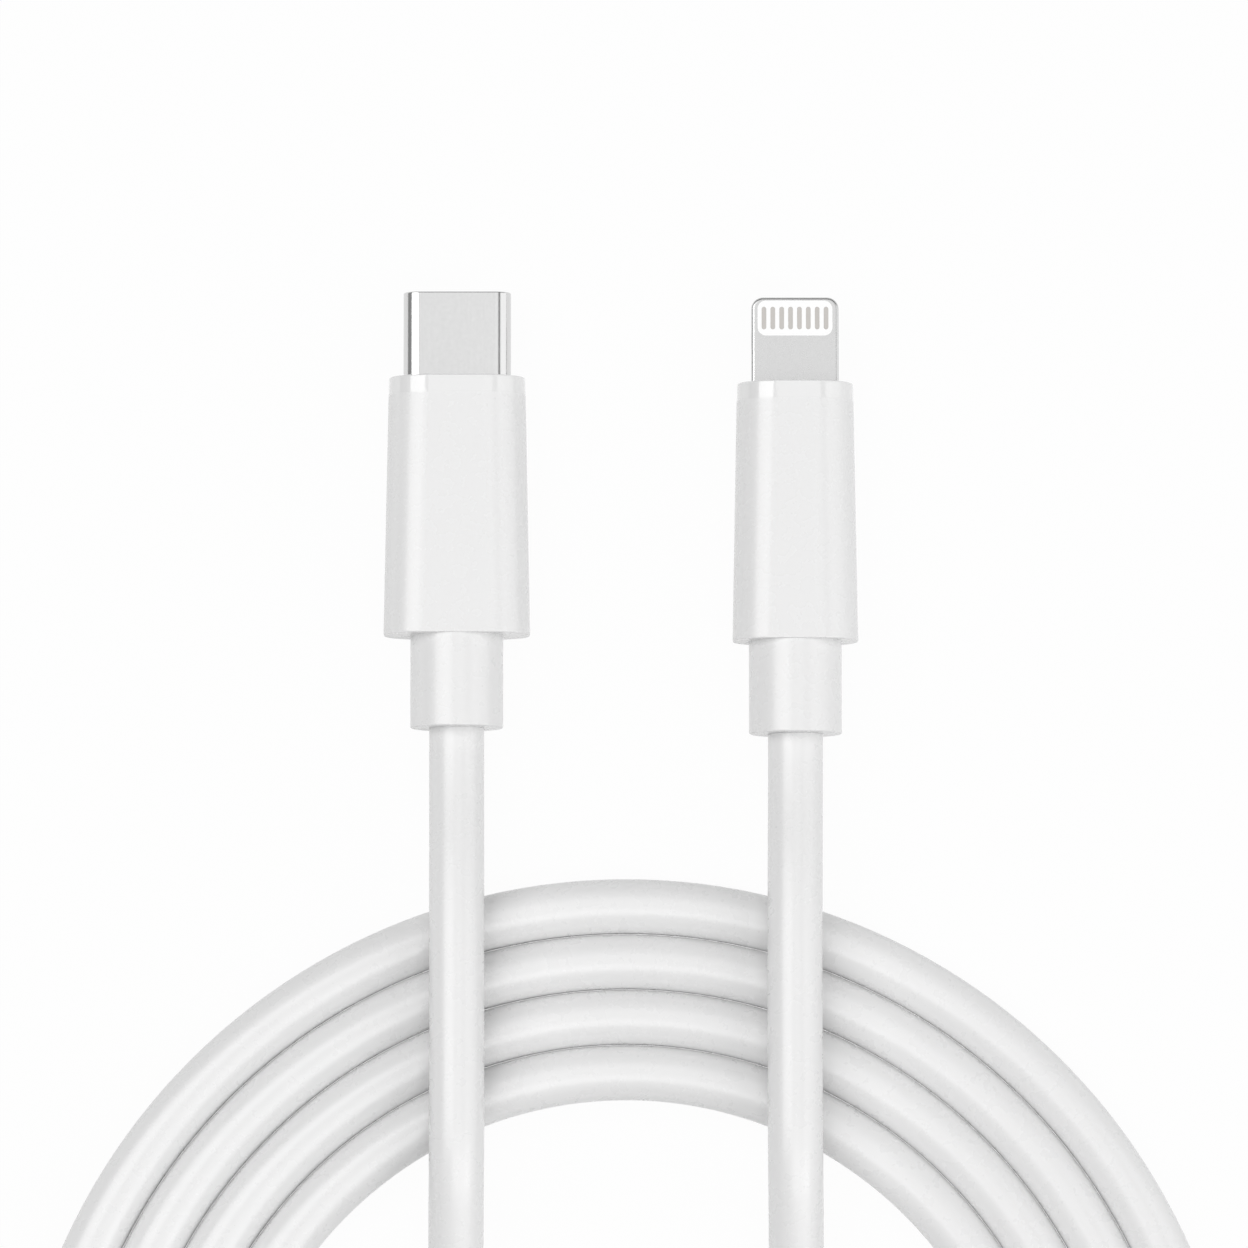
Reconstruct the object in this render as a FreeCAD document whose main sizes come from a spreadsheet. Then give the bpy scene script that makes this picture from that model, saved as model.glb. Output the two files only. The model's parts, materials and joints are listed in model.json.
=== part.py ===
"""Charging cable with a USB-C plug and an 8-contact tab plug, millimetres, +Z up.

The cable lies flat on a table at z = 0. Both plugs point along +Y, the USB-C plug on the left (-X), and the
cable between them is wound into a flat coil behind them. The origin is on the table, in the middle of the
box round the two plugs. Inside each plug, depth is counted from the front face of its collar towards
the cable, so a tip that sticks out has a negative depth.
"""

import FreeCAD, Part
import math
import os
import re

import PartDesign
import Sketcher
from FreeCAD import Placement, Rotation, Vector

# Driving dimensions, in millimetres, as counts or as shares where the name says so.
SIZES = {
    # How the plugs and the coil lie.
    "plug_spacing": 25.9,
    "plug_stagger": 0.45,
    "coil_distance": 58.6,
    # The outside of a plug, the same for both ends.
    "housing_thickness": 7.4,
    "housing_side_flat": 1.2,
    "housing_wall": 0.9,
    "housing_rear_wall": 1.5,
    "housing_edge_fillet": 0.1,
    "body_length": 19.75,
    "collar_length": 1.35,
    "collar_edge_fillet": 0.1,
    "spigot_length": 1.2,
    "mould_wall": 0.2,
    "relief_diameter": 7.1,
    "relief_length": 7.1,
    "relief_neck_wall": 0.5,
    "relief_flange_thickness": 1.2,
    "relief_edge_fillet": 0.12,
    # The cable and what it holds.
    "cable_diameter": 4.2,
    "wire_diameter": 1.1,
    "wire_clearance": 0.02,
    "wire_pad_length": 1.5,
    "wire_spread": 1.1,
    "wire_fan_length": 2.6,
    "jacket_grip_length": 3.8,
    "crimp_ring_length": 2.0,
    "crimp_ring_wall": 0.2,
    # The shield can and the board, the same build in both plugs.
    "can_sheet": 0.15,
    "can_corner_radius": 0.5,
    "can_headroom": 0.35,
    "can_side_gap": 0.25,
    "board_thickness": 0.8,
    # The USB-C plug.
    "usb_c_front_width": 10.45,
    "usb_c_rear_width": 11.2,
    "shell_width": 8.25,
    "shell_height": 2.4,
    "shell_wall": 0.3,
    "shell_lip_share": 0.4,
    "shell_exposed": 6.65,
    "shell_root": 4.4,
    "insulator_setback": 0.3,
    "insulator_rear_depth": 3.4,
    "slot_side_wall": 0.225,
    "slot_height": 0.9,
    "slot_depth": 6.0,
    "spring_pitch": 0.5,
    "spring_count": 12,
    "spring_width": 0.22,
    "spring_thickness": 0.15,
    "spring_roof": 0.08,
    "spring_side_clearance": 0.04,
    "spring_setback": 0.85,
    "spring_nose_length": 0.75,
    "spring_dip_length": 0.3,
    "spring_dip_slope": 1.55,
    "spring_dip_height": 0.32,
    "spring_step_length": 0.3,
    "spring_tail_length": 1.5,
    "latch_thickness": 0.2,
    "latch_arm_width": 0.35,
    "latch_setback": 1.45,
    "latch_hook_reach": 0.25,
    "latch_hook_nose": 0.4,
    "latch_hook_length": 0.5,
    "latch_hook_slope": 0.8,
    "latch_rear_cover": 0.4,
    "latch_bridge_length": 2.2,
    "ground_spring_thickness": 0.1,
    "ground_spring_width": 5.2,
    "ground_spring_length": 2.6,
    "ground_window_count": 3,
    "ground_window_pitch": 1.6,
    "ground_window_width": 0.8,
    "ground_window_length": 1.5,
    "ground_window_margin": 0.6,
    "board_shell_gap": 0.325,
    "can_tab_width": 5.4,
    "can_tab_gap": 0.2,
    # The 8-contact plug.
    "eight_pin_front_width": 8.9,
    "eight_pin_rear_width": 9.6,
    "contact_pitch": 0.68,
    "contact_count": 8,
    "contact_width": 0.36,
    "contact_length": 1.75,
    "contact_recess": 0.03,
    "contact_front_margin": 0.48,
    "contact_rear_margin": 0.47,
    "contact_side_margin": 0.31,
    "plate_corner_radius": 0.65,
    "plate_rim": 0.02,
    "tab_side_rim": 0.475,
    "tab_thickness": 1.5,
    "tab_exposed": 6.7,
    "tab_corner_radius": 0.9,
    "tab_edge_fillet": 0.24,
    "tab_flange_step": 0.15,
    "tab_flange_height": 2.6,
    "tab_flange_thickness": 1.2,
    "tab_flange_corner_radius": 0.65,
    "tab_board_slot_width": 5.2,
    "tab_board_slot_setback": 0.7,
    "detent_setback": 3.3,
    "detent_length": 1.2,
    "detent_height": 0.7,
    "detent_reach": 0.25,
    "eight_pin_board_width": 5.6,
    # The coil, and how the leads cross it, with distances in cable diameters where the name says so.
    "coil_turns": 4,
    "coil_outer_radius": 47.0,
    "coil_gap": 0.45,
    "exit_run_share": 0.42,
    "crossing_clearance": 4.45,
    "crossing_front_diameters": 0.3,
    "crossing_rear_diameters": 0.6,
    "descent_diameters": 2.25,
    "floor_run_diameters": 3.0,
}

# Sizes and places that follow from the ones above.
WORKED_OUT = {
    "axis_height": "max(housing_thickness; relief_diameter) / 2",
    "frame_shift": "(usb_c_rear_width - eight_pin_rear_width) / 4",
    "usb_c_axis_x": "frame_shift - plug_spacing / 2",
    "eight_pin_axis_x": "frame_shift + plug_spacing / 2",
    "foremost_tip": "max(shell_exposed; tab_exposed - plug_stagger)",
    "rearmost_end": "body_length + relief_length + max(plug_stagger; 0)",
    "usb_c_front_y": "(rearmost_end - foremost_tip) / 2",
    "eight_pin_front_y": "usb_c_front_y - plug_stagger",
    "housing_corner_radius": "(housing_thickness - housing_side_flat) / 2",
    "collar_share": "collar_length / body_length",
    "usb_c_taper": "usb_c_rear_width - usb_c_front_width",
    "eight_pin_taper": "eight_pin_rear_width - eight_pin_front_width",
    "usb_c_seam_width": "usb_c_front_width + usb_c_taper * collar_share",
    "eight_pin_seam_width": "eight_pin_front_width + eight_pin_taper * collar_share",
    "spigot_end_depth": "collar_length + spigot_length",
    "rear_wall_depth": "body_length - housing_rear_wall",
    "flange_depth": "rear_wall_depth - relief_flange_thickness",
    "relief_end_depth": "body_length + relief_length",
    "relief_neck_diameter": "cable_diameter + 2 * relief_neck_wall",
    "core_diameter": "wire_diameter * (1 + sqrt(2)) + 2 * wire_clearance",
    "jacket_front_depth": "flange_depth - jacket_grip_length",
    "crimp_ring_diameter": "cable_diameter + 2 * crimp_ring_wall",
    "crimp_ring_end_depth": "jacket_front_depth + crimp_ring_length",
    "board_end_depth": "jacket_front_depth - wire_fan_length",
    "board_top": "board_thickness / 2",
    "can_height": "board_thickness + 2 * (wire_diameter + can_headroom + can_sheet)",
    "cavity_height": "housing_thickness - 2 * housing_wall",
    "cavity_corner_radius": "housing_corner_radius - housing_wall",
    # The USB-C plug.
    "shell_inner_width": "shell_width - 2 * shell_wall",
    "shell_inner_height": "shell_height - 2 * shell_wall",
    "shell_lip_fillet": "shell_wall * shell_lip_share",
    "usb_c_cavity_width": "shell_width + 2 * mould_wall",
    "usb_c_board_width": "shell_inner_width - 2 * board_shell_gap",
    "usb_c_can_width": "usb_c_board_width + 2 * (can_side_gap + can_sheet)",
    "usb_c_can_depth": "shell_root",
    "can_tab_length": "usb_c_can_depth - spigot_end_depth - can_tab_gap",
    "insulator_front_depth": "insulator_setback - shell_exposed",
    "slot_width": "shell_inner_width - 2 * slot_side_wall",
    "spring_height": "shell_inner_height / 2 - ground_spring_thickness - spring_roof",
    "spring_front_depth": "insulator_front_depth + spring_setback",
    "spring_row_half": "(spring_count - 1) * spring_pitch / 2",
    "latch_front_depth": "insulator_front_depth + latch_setback",
    "latch_rear_depth": "insulator_rear_depth - latch_rear_cover",
    "contact_tail_depth": "insulator_rear_depth + spring_tail_length",
    "usb_c_chip_depth": "(contact_tail_depth + board_end_depth - wire_pad_length) / 2",
    # The 8-contact plug.
    "contact_row_half": "(contact_count - 1) * contact_pitch / 2",
    "plate_width": "2 * contact_row_half + contact_width + 2 * contact_side_margin",
    "plate_length": "contact_front_margin + contact_length + contact_rear_margin",
    "plate_setback": "tab_edge_fillet + plate_rim",
    "plate_middle_depth": "plate_setback + plate_length / 2 - tab_exposed",
    "contact_middle_depth": "plate_setback + contact_front_margin + contact_length / 2 - tab_exposed",
    "tab_width": "plate_width + 2 * tab_side_rim",
    "tab_face": "tab_thickness / 2",
    "plate_thickness": "tab_face - board_top",
    "tab_flange_width": "tab_width + 2 * tab_flange_step",
    "tab_flange_end_depth": "spigot_end_depth + tab_flange_thickness",
    "eight_pin_cavity_width": "tab_flange_width + 2 * mould_wall",
    "eight_pin_can_width": "eight_pin_board_width + 2 * (can_side_gap + can_sheet)",
    "eight_pin_can_depth": "tab_flange_end_depth",
    "eight_pin_chip_depth": "(eight_pin_can_depth + can_sheet + board_end_depth - wire_pad_length) / 2",
    # The coil and the leads, counted from the coil's middle.
    "coil_pitch": "cable_diameter + coil_gap",
    "outermost_radius": "coil_outer_radius - cable_diameter / 2",
    "innermost_radius": "outermost_radius - (coil_turns - 1) * coil_pitch",
    "lead_x": "plug_spacing / 2",
    "table_level": "cable_diameter / 2",
    "crossing_level": "1.5 * cable_diameter + crossing_clearance",
    "front_crossing_y": "sqrt(outermost_radius^2 - lead_x^2)",
    "rear_crossing_y": "sqrt(innermost_radius^2 - lead_x^2)",
    "hump_front_y": "front_crossing_y + crossing_front_diameters * cable_diameter",
    "hump_rear_y": "rear_crossing_y - crossing_rear_diameters * cable_diameter",
    "descent_end_y": "hump_rear_y - descent_diameters * cable_diameter",
    "floor_run_end_y": "descent_end_y - floor_run_diameters * cable_diameter",
}

# Packages on the boards: width, length, height and middle x, and which side of the board they are on.
USB_C_BOARD_PARTS = [
    (2.4, 2.0, 0.6, 0.0, 1),
    (0.5, 1.0, 0.35, -2.2, 1),
    (0.5, 1.0, 0.35, 2.2, 1),
    (0.5, 1.0, 0.35, -1.0, -1),
    (0.5, 1.0, 0.35, 1.0, -1),
]
EIGHT_PIN_CHIP = [(2.6, 2.2, 0.7, 0.0, 1)]
EIGHT_PIN_CAPACITORS = [(0.5, 1.0, 0.5, x, -1) for x in (-1.4, 0.0, 1.4)]

# Each conductor with the side (x) and the face (z) of the board that it goes to, and where it
# bends, as shares of the way from the board's end to the jacket.
WIRES = [("power", -1, 1), ("ground", 1, 1), ("data_plus", -1, -1), ("data_minus", 1, -1)]
WIRE_BEND_SHARES = (0.73, 0.31)

# Corners that each lead has on its way straight down from its plug: over the turns, then down to the table.
HUMP = [
    ("hump_front_y", "crossing_level"),
    ("hump_rear_y", "crossing_level"),
    ("descent_end_y", "table_level"),
]
# Corners where the second lead comes back over the turns to the coil's outer end: x and y as shares of the
# outermost turn's radius, and the height as a share of the way from the table up to the crossing level.
RETURN_OVER_TURNS = [
    (0.285, -0.250, 1.0),
    (0.115, -0.584, 1.01),
    (-0.185, -0.760, 1.0),
    (-0.562, -0.771, 1.0),
    (-0.881, -0.595, 0.5),
    (-1.000, -0.286, 0.0),
]
# Each arc of a lead or a conductor takes up this share of the shorter run beside it.
ARC_SHARE = 0.45
# Step along the centre line when the coil's gap is measured, and the stretch that each point leaves out.
GAP_STEP = 1.0
GAP_SKIP = 40.0

# The lower faces of the upper and of the lower ground spring in the USB-C plug's mouth.
GROUND_SPRING_LOWS = ("shell_inner_height / 2 - ground_spring_thickness", "-shell_inner_height / 2")

# How far a length and a volume may be off and still count as equal, and a tube's volume as a share.
LENGTH_TOLERANCE = 1e-4
VOLUME_TOLERANCE = 1e-6
TUBE_VOLUME_SHARE = 0.002

doc = FreeCAD.newDocument("charging_cable")
sheet = doc.addObject("Spreadsheet::Sheet", "sizes")
parts = {}


def fill_sheet():
    """Write every size into the sheet under its own alias."""
    for row, (name, content) in enumerate([*SIZES.items(), *WORKED_OUT.items()], start=1):
        sheet.set(f"A{row}", name)
        sheet.set(f"B{row}", f"={content}" if name in WORKED_OUT else str(content))
        sheet.setAlias(f"B{row}", name)
    doc.recompute()


def formula(text):
    """A formula on the sheet's sizes, as an expression that any object can use."""
    known = {**SIZES, **WORKED_OUT}
    return re.sub(r"[a-z]\w*", lambda word: f"sizes.{word[0]}" if word[0] in known else word[0], text)


def number(text):
    """The present value of a formula, in millimetres."""
    value = sheet.evalExpression(formula(text))
    return float(getattr(value, "Value", value))


def bind(thing, field, text):
    thing.setExpression(field, formula(text))


# Bodies, sketches and the outlines that are drawn in them.


def new_body(label, prefix):
    """An empty body whose origin is on a plug's axis, at the front face of its collar."""
    body = doc.addObject("PartDesign::Body", label)
    body.Label = label
    bind(body, ".Placement.Base.x", f"{prefix}_axis_x")
    bind(body, ".Placement.Base.y", f"{prefix}_front_y")
    bind(body, ".Placement.Base.z", "axis_height")
    parts[label] = body
    return body


def turn_over(body):
    """Turn a body half round its plug's axis, so that its top becomes its underside."""
    body.Placement = Placement(body.Placement.Base, Rotation(Vector(0, 1, 0), 180))


def new_sketch(body, role="XZ_Plane", offset="0"):
    """A sketch on one of the body's planes. On XZ_Plane the offset is the depth behind the collar's face."""
    sketch = body.newObject("Sketcher::SketchObject", f"{body.Name}_outline")
    plane = next(item for item in body.Origin.OriginFeatures if item.Role == role)
    sketch.AttachmentSupport = [(plane, "")]
    sketch.MapMode = "FlatFace"
    bind(sketch, "AttachmentOffset.Base.z", offset)
    return sketch


def constrain(sketch, text, *where):
    """Add a dimension to a sketch and tie it to a formula."""
    index = sketch.addConstraint(Sketcher.Constraint(*where, number(text)))
    bind(sketch, f"Constraints[{index}]", text)


def add_all(sketch, *constraints):
    sketch.addConstraint([Sketcher.Constraint(*item) for item in constraints])


def line(x0, y0, x1, y1):
    return Part.LineSegment(Vector(x0, y0, 0), Vector(x1, y1, 0))


def arc(x, y, radius, start, end):
    circle = Part.Circle(Vector(x, y, 0), Vector(0, 0, 1), radius)
    return Part.ArcOfCircle(circle, math.radians(start), math.radians(end))


def rounded_rectangle(sketch, width, height, radius, y="0"):
    """A rectangle with round corners, its middle on the sketch's Y axis at the height y."""
    w, r, middle = number(width) / 2, number(radius), number(y)
    low, high = middle - number(height) / 2, middle + number(height) / 2
    top, right, bottom, left, top_right, top_left, bottom_left, bottom_right = sketch.addGeometry(
        [
            line(r - w, high, w - r, high),
            line(w, low + r, w, high - r),
            line(r - w, low, w - r, low),
            line(-w, high - r, -w, low + r),
            arc(w - r, high - r, r, 0, 90),
            arc(r - w, high - r, r, 90, 180),
            arc(r - w, low + r, r, 180, 270),
            arc(w - r, low + r, r, 270, 360),
        ]
    )
    add_all(
        sketch,
        ("Tangent", top, 2, top_right, 2),
        ("Tangent", top, 1, top_left, 1),
        ("Tangent", left, 1, top_left, 2),
        ("Tangent", left, 2, bottom_left, 1),
        ("Tangent", bottom, 1, bottom_left, 2),
        ("Tangent", bottom, 2, bottom_right, 1),
        ("Tangent", right, 1, bottom_right, 2),
        ("Tangent", right, 2, top_right, 1),
        ("Equal", top_right, top_left),
        ("Equal", top_right, bottom_left),
        ("Equal", top_right, bottom_right),
        ("Horizontal", top),
        ("Horizontal", bottom),
        ("Vertical", right),
        ("Vertical", left),
    )
    constrain(sketch, f"-({width}) / 2", "DistanceX", -1, 1, left, 1)
    constrain(sketch, width, "DistanceX", left, 1, right, 1)
    constrain(sketch, f"{y} - ({height}) / 2", "DistanceY", -1, 1, bottom, 1)
    constrain(sketch, height, "DistanceY", bottom, 1, top, 1)
    constrain(sketch, radius, "Radius", top_right)


def stadium(sketch, width, height, x="0", y="0"):
    """A flat-sided oval, its long side along the sketch's X, centred on (x, y)."""
    a, r = (number(width) - number(height)) / 2, number(height) / 2
    cx, cy = number(x), number(y)
    top, bottom, right, left = sketch.addGeometry(
        [
            line(cx - a, cy + r, cx + a, cy + r),
            line(cx - a, cy - r, cx + a, cy - r),
            arc(cx + a, cy, r, -90, 90),
            arc(cx - a, cy, r, 90, 270),
        ]
    )
    add_all(
        sketch,
        ("Tangent", top, 2, right, 2),
        ("Tangent", bottom, 2, right, 1),
        ("Tangent", top, 1, left, 1),
        ("Tangent", bottom, 1, left, 2),
        ("Horizontal", top),
        ("Equal", right, left),
    )
    constrain(sketch, f"{x} - ({width} - {height}) / 2", "DistanceX", -1, 1, left, 3)
    constrain(sketch, y, "DistanceY", -1, 1, left, 3)
    constrain(sketch, f"{width} - {height}", "DistanceX", left, 3, right, 3)
    constrain(sketch, f"{height} / 2", "Radius", right)


def round_hole(sketch, diameter):
    """A circle on the sketch's origin."""
    (circle,) = sketch.addGeometry([Part.Circle(Vector(0, 0, 0), Vector(0, 0, 1), number(diameter) / 2)])
    add_all(sketch, ("Coincident", circle, 3, -1, 1))
    constrain(sketch, diameter, "Diameter", circle)


def polygon(sketch, points):
    """A closed outline whose corners lie at the given formulas."""
    places = [(number(x), number(y)) for x, y in points]
    sides = sketch.addGeometry(
        [line(*places[i], *places[(i + 1) % len(places)]) for i in range(len(places))]
    )
    add_all(sketch, *[("Coincident", sides[i - 1], 2, sides[i], 1) for i in range(len(sides))])
    for side, (x, y) in zip(sides, points):
        constrain(sketch, x, "DistanceX", -1, 1, side, 1)
        constrain(sketch, y, "DistanceY", -1, 1, side, 1)


def rectangle(sketch, left, right, bottom, top):
    """A plain rectangle between four formulas."""
    polygon(sketch, [(left, bottom), (right, bottom), (right, top), (left, top)])


# Features.


def extrude(kind, body, sketch, length, symmetric=False):
    feature = body.newObject(f"PartDesign::{kind}", f"{body.Name}_{kind.lower()}")
    feature.Profile = sketch
    feature.SideType = "Symmetric" if symmetric else "One side"
    bind(feature, "Length", length)
    return feature


def pad(body, sketch, length, symmetric=False):
    return extrude("Pad", body, sketch, length, symmetric)


def pocket(body, sketch, length, symmetric=False):
    """Cut along the sketch's own direction, which runs into the plug on XZ_Plane."""
    feature = extrude("Pocket", body, sketch, length, symmetric)
    feature.Reversed = not symmetric
    return feature


def repeat_along_x(body, feature, sketch, count, pitch):
    """Repeat a feature in a row along the sketch's X."""
    row = body.newObject("PartDesign::LinearPattern", f"{body.Name}_row")
    row.Originals = [feature]
    row.Direction = (sketch, ["H_Axis"])
    bind(row, "Occurrences", count)
    bind(row, "Length", f"({count} - 1) * {pitch}")
    body.Tip = row
    return row


def mirror(body, features, role):
    """Mirror features in one of the body's planes."""
    copy = body.newObject("PartDesign::Mirrored", f"{body.Name}_mirrored")
    copy.Originals = features
    plane = next(item for item in body.Origin.OriginFeatures if item.Role == role)
    copy.MirrorPlane = (plane, [""])
    body.Tip = copy
    return copy


def fillet(body, base, radius, chosen):
    """Round the edges of a feature for which chosen(edge) is true."""
    doc.recompute()
    names = [f"Edge{i}" for i, edge in enumerate(base.Shape.Edges, start=1) if chosen(edge)]
    feature = body.newObject("PartDesign::Fillet", f"{body.Name}_fillet")
    feature.Base = (base, names)
    bind(feature, "Radius", radius)
    return feature


def runs_along_plug(edge):
    return edge.BoundBox.YLength > LENGTH_TOLERANCE


def lies_at_depth(edge, depth):
    """True for an edge that lies in the plane at a depth behind the collar's face."""
    box = edge.BoundBox
    return max(abs(box.YMin + depth), abs(box.YMax + depth)) < LENGTH_TOLERANCE


def tapered_block(body, start, start_width, end, end_width):
    """The outer form of a plug between two depths: constant thickness, with a tapering width."""
    outline = new_sketch(body, role="XY_Plane")
    corners = [
        (f"-{start_width} / 2", f"-({start})"),
        (f"-{end_width} / 2", f"-({end})"),
        (f"{end_width} / 2", f"-({end})"),
        (f"{start_width} / 2", f"-({start})"),
    ]
    polygon(outline, corners)
    block = pad(body, outline, "housing_thickness", symmetric=True)
    return fillet(body, block, "housing_corner_radius", runs_along_plug)


# Pieces that both plugs have.


def make_housing(prefix):
    """Tapered sleeve, open at the front, with a wall at the rear that the strain relief passes through."""
    body = new_body(f"{prefix}_housing", prefix)
    seam, rear = f"{prefix}_seam_width", f"{prefix}_rear_width"
    block = tapered_block(body, "collar_length", seam, "body_length", rear)
    end = number("body_length")
    fillet(body, block, "housing_edge_fillet", lambda edge: lies_at_depth(edge, end))
    cavity = new_sketch(body, offset="collar_length")
    rounded_rectangle(cavity, f"{prefix}_cavity_width", "cavity_height", "cavity_corner_radius")
    pocket(body, cavity, "rear_wall_depth - collar_length")
    neck = new_sketch(body, offset="rear_wall_depth")
    round_hole(neck, "relief_neck_diameter")
    pocket(body, neck, "housing_rear_wall")


def make_collar(prefix, opening):
    """Nose ring with a spigot that seats in the housing; opening draws the hole for the metal tip."""
    body = new_body(f"{prefix}_collar", prefix)
    front, seam = f"{prefix}_front_width", f"{prefix}_seam_width"
    block = tapered_block(body, "0", front, "collar_length", seam)
    fillet(body, block, "collar_edge_fillet", lambda edge: lies_at_depth(edge, 0))
    spigot = new_sketch(body, offset="collar_length")
    rounded_rectangle(spigot, f"{prefix}_cavity_width", "cavity_height", "cavity_corner_radius")
    pad(body, spigot, "spigot_length")
    hole = new_sketch(body)
    opening(hole)
    pocket(body, hole, "spigot_end_depth")


def make_strain_relief(prefix):
    """Plain round sleeve with a neck through the housing's rear wall and a flange behind it."""
    body = new_body(f"{prefix}_strain_relief", prefix)
    flange = new_sketch(body, offset="flange_depth")
    rounded_rectangle(flange, f"{prefix}_cavity_width", "cavity_height", "cavity_corner_radius")
    pad(body, flange, "relief_flange_thickness")
    neck = new_sketch(body, offset="rear_wall_depth")
    round_hole(neck, "relief_neck_diameter")
    pad(body, neck, "housing_rear_wall")
    sleeve = new_sketch(body, offset="body_length")
    round_hole(sleeve, "relief_diameter")
    outer = pad(body, sleeve, "relief_length")
    end = number("relief_end_depth")
    fillet(body, outer, "relief_edge_fillet", lambda edge: lies_at_depth(edge, end))
    bore = new_sketch(body, offset="flange_depth")
    round_hole(bore, "cable_diameter")
    pocket(body, bore, "relief_end_depth - flange_depth")


def make_jacket_end(prefix):
    """The last of the cable's jacket, stripped where the conductors spread to the board."""
    body = new_body(f"{prefix}_jacket_end", prefix)
    outline = new_sketch(body, offset="jacket_front_depth")
    round_hole(outline, "cable_diameter")
    pad(body, outline, "relief_end_depth - jacket_front_depth")
    bore = new_sketch(body, offset="jacket_front_depth")
    round_hole(bore, "core_diameter")
    pocket(body, bore, "relief_end_depth - jacket_front_depth")


def make_crimp_ring(prefix):
    """Metal ring pressed round the front end of the jacket."""
    body = new_body(f"{prefix}_crimp_ring", prefix)
    outline = new_sketch(body, offset="jacket_front_depth")
    round_hole(outline, "crimp_ring_diameter")
    pad(body, outline, "crimp_ring_length")
    bore = new_sketch(body, offset="jacket_front_depth")
    round_hole(bore, "cable_diameter")
    pocket(body, bore, "crimp_ring_length")


def make_can_half(prefix, side, window, has_tab):
    """Half of the stamped can over the board; window draws the hole in its front wall."""
    body = new_body(f"{prefix}_shield_can_{side}", prefix)
    depth, width = f"{prefix}_can_depth", f"{prefix}_can_width"
    outer = new_sketch(body, offset=depth)
    rounded_rectangle(outer, width, "can_height", "can_corner_radius")
    pad(body, outer, f"jacket_front_depth - {depth}")
    inner = new_sketch(body, offset=f"{depth} + can_sheet")
    inner_radius = "can_corner_radius - can_sheet"
    rounded_rectangle(inner, f"{width} - 2 * can_sheet", "can_height - 2 * can_sheet", inner_radius)
    pocket(body, inner, f"jacket_front_depth - {depth} - 2 * can_sheet")
    front = new_sketch(body, offset=depth)
    window(front)
    pocket(body, front, "can_sheet")
    rear = new_sketch(body, offset="jacket_front_depth - can_sheet")
    round_hole(rear, "core_diameter")
    pocket(body, rear, "can_sheet")
    lower = new_sketch(body, offset=depth)
    rectangle(lower, f"-{width}", width, "-can_height", "0")
    pocket(body, lower, f"jacket_front_depth - {depth}")
    if has_tab:
        tab = new_sketch(body, offset=f"{depth} - can_tab_length")
        foot = "shell_height / 2"
        rectangle(tab, "-can_tab_width / 2", "can_tab_width / 2", foot, f"{foot} + can_sheet")
        pad(body, tab, "can_tab_length + can_sheet")
    if side == "bottom":
        turn_over(body)


def make_inner_mould(prefix, cuts):
    """Moulding that fills the housing; cuts are the outlines, from and to depths of what it encloses."""
    body = new_body(f"{prefix}_inner_mould", prefix)
    block = new_sketch(body, offset="spigot_end_depth")
    rounded_rectangle(block, f"{prefix}_cavity_width", "cavity_height", "cavity_corner_radius")
    pad(body, block, "flange_depth - spigot_end_depth")

    def can_outline(sketch):
        rounded_rectangle(sketch, f"{prefix}_can_width", "can_height", "can_corner_radius")

    def ring_outline(sketch):
        round_hole(sketch, "crimp_ring_diameter")

    def jacket_outline(sketch):
        round_hole(sketch, "cable_diameter")

    shared = [
        (can_outline, f"{prefix}_can_depth", "jacket_front_depth"),
        (ring_outline, "jacket_front_depth", "crimp_ring_end_depth"),
        (jacket_outline, "crimp_ring_end_depth", "flange_depth"),
    ]
    for draw, start, end in [*cuts, *shared]:
        sketch = new_sketch(body, offset=start)
        draw(sketch)
        pocket(body, sketch, f"{end} - ({start})")


def make_board(prefix, front, width):
    """Board from a front depth to the pads that the conductors are soldered to."""
    body = new_body(f"{prefix}_circuit_board", prefix)
    outline = new_sketch(body, offset=front)
    rectangle(outline, f"-{width} / 2", f"{width} / 2", "-board_top", "board_top")
    pad(body, outline, f"board_end_depth - ({front})")
    return body


def make_board_blocks(label, prefix, blocks):
    """Flat packages in a row across the middle of the board, each on one of its faces."""
    body = new_body(label, prefix)
    for width, length, height, x, side in blocks:
        sketch = new_sketch(body, offset=f"{prefix}_chip_depth - {length / 2}")
        low = "board_top" if side > 0 else f"-board_top - {height}"
        rectangle(sketch, str(x - width / 2), str(x + width / 2), low, f"{low} + {height}")
        pad(body, sketch, str(length))


def add_shape(label, shape, x="0", y="0", z="0"):
    """Keep a shape that Part has made, with its place tied to the sheet."""
    feature = doc.addObject("Part::Feature", label)
    feature.Label = label
    feature.Shape = shape
    bind(feature, ".Placement.Base.x", x)
    bind(feature, ".Placement.Base.y", y)
    bind(feature, ".Placement.Base.z", z)
    parts[label] = feature
    return feature


def rounded_path(points):
    """Straight runs joined by tangent arcs; returns the wire and the arcs' radii."""
    edges, radii = [], []
    here = points[0]
    for before, corner, after in zip(points, points[1:], points[2:]):
        into, out = (corner - before), (after - corner)
        half_turn = into.getAngle(out) / 2
        reach = ARC_SHARE * min(into.Length, out.Length)
        into.normalize()
        out.normalize()
        start, end = corner - into * reach, corner + out * reach
        towards_middle = (out - into).normalize()
        radius = reach / math.tan(half_turn)
        centre = corner + towards_middle * (radius / math.cos(half_turn))
        middle = centre - towards_middle * radius
        edges.append(Part.LineSegment(here, start).toShape())
        edges.append(Part.Arc(start, middle, end).toShape())
        radii.append(radius)
        here = end
    edges.append(Part.LineSegment(here, points[-1]).toShape())
    return Part.Wire(edges), radii


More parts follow.
